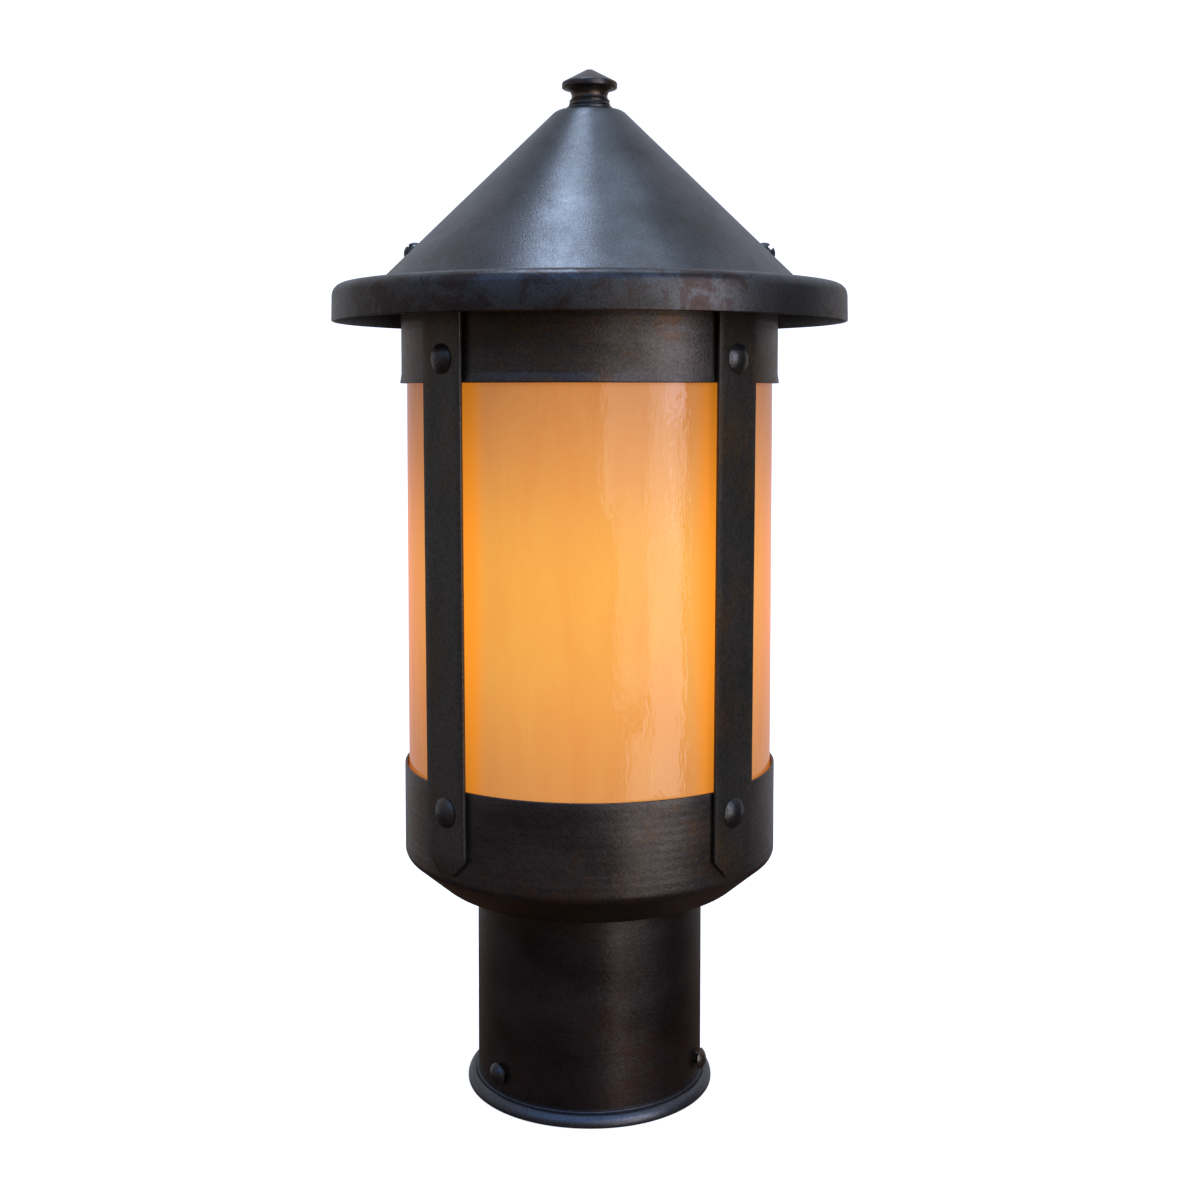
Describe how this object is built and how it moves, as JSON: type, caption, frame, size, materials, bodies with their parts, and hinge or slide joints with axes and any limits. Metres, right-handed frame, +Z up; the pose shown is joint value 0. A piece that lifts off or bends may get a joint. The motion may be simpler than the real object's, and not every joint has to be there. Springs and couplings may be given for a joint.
{
  "type": "outdoor post light",
  "caption": "Post-top lantern: amber glass cylinder strapped between a spun cup and band, under a conical roof with a finial, over a post fitter with set screws.",
  "frame": {"origin": "middle of the post fitter's foot, on the plane that the light stands on", "axes": "+Z up along the post's axis; -Y towards the viewer of the picture; +X to the viewer's right"},
  "size_m": [0.1798, 0.1798, 0.3588],
  "materials": {
    "aged_bronze": "dark bronze patina, satin",
    "zinc_plated_steel": "bright zinc plate",
    "blackened_steel": "black oxide",
    "amber_art_glass": "streaky amber art glass, glossy",
    "silicone": "matt",
    "green_steel": "green plated",
    "porcelain": "white glaze",
    "brass": "bright",
    "nickel_plate": "nickel plate",
    "solder": "dull solder",
    "vitrite": "black glass",
    "opal_lamp_glass": "soft white coating",
    "clear_lamp_glass": "clear",
    "lamp_wire": "nickel and tungsten wire",
    "black_nylon": "matt"
  },
  "bodies": {
    "lantern": {"band_rivets": "aged_bronze", "cup_rivets": "aged_bronze", "earth_screw": "green_steel", "fitter_plate": "zinc_plated_steel", "glass_cylinder": "amber_art_glass", "glass_seat_ring": "silicone", "glass_top_channel": "silicone", "lampholder_body": "porcelain", "lampholder_cap": "zinc_plated_steel", "lampholder_cap_screws": "zinc_plated_steel", "lampholder_centre_contact": "brass", "lampholder_screw_shell": "brass", "line_terminal_screw": "brass", "lower_cup": "aged_bronze", "neutral_terminal_screw": "nickel_plate", "nipple_lower_nut": "zinc_plated_steel", "nipple_upper_nut": "zinc_plated_steel", "nipple_washer": "zinc_plated_steel", "post_fitter": "aged_bronze", "strap_back_left": "aged_bronze", "strap_back_right": "aged_bronze", "strap_front_left": "aged_bronze", "strap_front_right": "aged_bronze", "threaded_nipple": "zinc_plated_steel", "top_band": "aged_bronze", "wire_bushing": "black_nylon"},
    "roof": {"finial": "aged_bronze", "finial_nut": "zinc_plated_steel", "finial_stud": "zinc_plated_steel", "finial_washer": "zinc_plated_steel", "roof_leg_left": "zinc_plated_steel", "roof_leg_right": "zinc_plated_steel", "roof_screw_left": "blackened_steel", "roof_screw_nut_left": "zinc_plated_steel", "roof_screw_nut_right": "zinc_plated_steel", "roof_screw_right": "blackened_steel", "roof_shell": "aged_bronze"},
    "lamp": {"lamp_contact": "solder", "lamp_envelope": "opal_lamp_glass", "lamp_filament": "lamp_wire", "lamp_insulator": "vitrite", "lamp_lead_wires": "lamp_wire", "lamp_screw_cap": "nickel_plate", "lamp_stem": "clear_lamp_glass"},
    "set_screw_1": {"set_screw_1": "blackened_steel"},
    "set_screw_2": {"set_screw_2": "blackened_steel"},
    "set_screw_3": {"set_screw_3": "blackened_steel"}
  },
  "joints": [
    {"name": "roof_lift", "type": "slide", "parent": "lantern", "child": "roof", "axis": [0, 0, 1], "range_m": [0, 0.12]},
    {"name": "lamp_lift", "type": "slide", "parent": "lantern", "child": "lamp", "axis": [0, 0, 1], "range_m": [0, 0.1]},
    {"name": "set_screw_1_travel", "type": "slide", "parent": "lantern", "child": "set_screw_1", "axis": [0.766, 0.6428, 0], "range_m": [-0.001, 0.001]},
    {"name": "set_screw_2_travel", "type": "slide", "parent": "lantern", "child": "set_screw_2", "axis": [-0.9397, 0.342, 0], "range_m": [-0.001, 0.001]},
    {"name": "set_screw_3_travel", "type": "slide", "parent": "lantern", "child": "set_screw_3", "axis": [0.1736, -0.9848, 0], "range_m": [-0.001, 0.001]}
  ]
}
